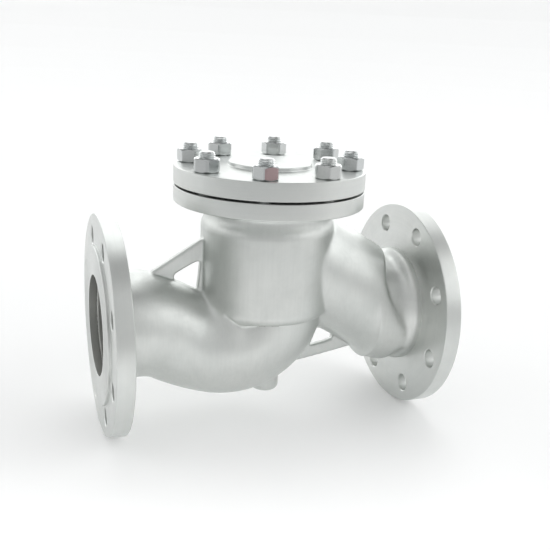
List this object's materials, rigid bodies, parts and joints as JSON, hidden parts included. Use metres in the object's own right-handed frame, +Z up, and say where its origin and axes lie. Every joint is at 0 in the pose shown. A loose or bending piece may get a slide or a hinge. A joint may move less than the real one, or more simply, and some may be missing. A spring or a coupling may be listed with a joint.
{
  "type": "lift check valve",
  "caption": "Flanged straight-pattern lift check valve with a globe body, bolted round cover and a spring-closed guided disc that lifts off its seat under forward flow.",
  "frame": {"origin": "centre of the inlet raised face, on the pipe axis", "axes": "+X along the pipe axis from inlet to outlet, +Z up along the cover axis, +Y completes the right-handed frame"},
  "size_m": [0.35, 0.22, 0.285],
  "materials": {
    "cast_stainless": "bead-blasted investment casting, satin, machined on the flange faces and rims",
    "cover_stainless": "bead-blasted, rim turned",
    "machined_stainless": "turned",
    "nut_steel": "cold-formed stainless, semi-bright",
    "stud_steel": "rolled thread, stainless",
    "fastener_steel": "semi-bright stainless",
    "spring_wire": "drawn stainless wire, ground ends",
    "bronze": "turned bronze",
    "graphite_winding": "flexible graphite and steel strip, wound",
    "ptfe": "PTFE, dull white"
  },
  "bodies": {
    "valve_body": {"body_casting": "cast_stainless", "seat_ring": "machined_stainless", "cover": "cover_stainless", "guide_bush": "bronze", "gasket_winding": "graphite_winding", "gasket_inner_ring": "machined_stainless", "cover_stud_1": "stud_steel", "cover_stud_2": "stud_steel", "cover_stud_3": "stud_steel", "cover_stud_4": "stud_steel", "cover_stud_5": "stud_steel", "cover_stud_6": "stud_steel", "cover_stud_7": "stud_steel", "cover_stud_8": "stud_steel", "cover_nut_1": "nut_steel", "cover_nut_2": "nut_steel", "cover_nut_3": "nut_steel", "cover_nut_4": "nut_steel", "cover_nut_5": "nut_steel", "cover_nut_6": "nut_steel", "cover_nut_7": "nut_steel", "cover_nut_8": "nut_steel"},
    "spring_follower": {"spring_seat_washer": "machined_stainless", "return_spring": "spring_wire"},
    "disc_assembly": {"disc": "machined_stainless", "disc_seal_ring": "ptfe", "seal_retainer": "machined_stainless", "retainer_screw": "fastener_steel"}
  },
  "joints": [
    {"name": "disc_lift", "type": "slide", "parent": "valve_body", "child": "spring_follower", "axis": [0, 0, 1], "range_m": [0, 0.025], "stiffness_N_per_m": 2600, "springref_m": -0.01, "deforming": ["return_spring"]},
    {"name": "disc_spin", "type": "hinge", "parent": "spring_follower", "child": "disc_assembly", "pos_m": [0.175, 0, 0.02], "axis": [0, 0, 1], "continuous": true}
  ]
}
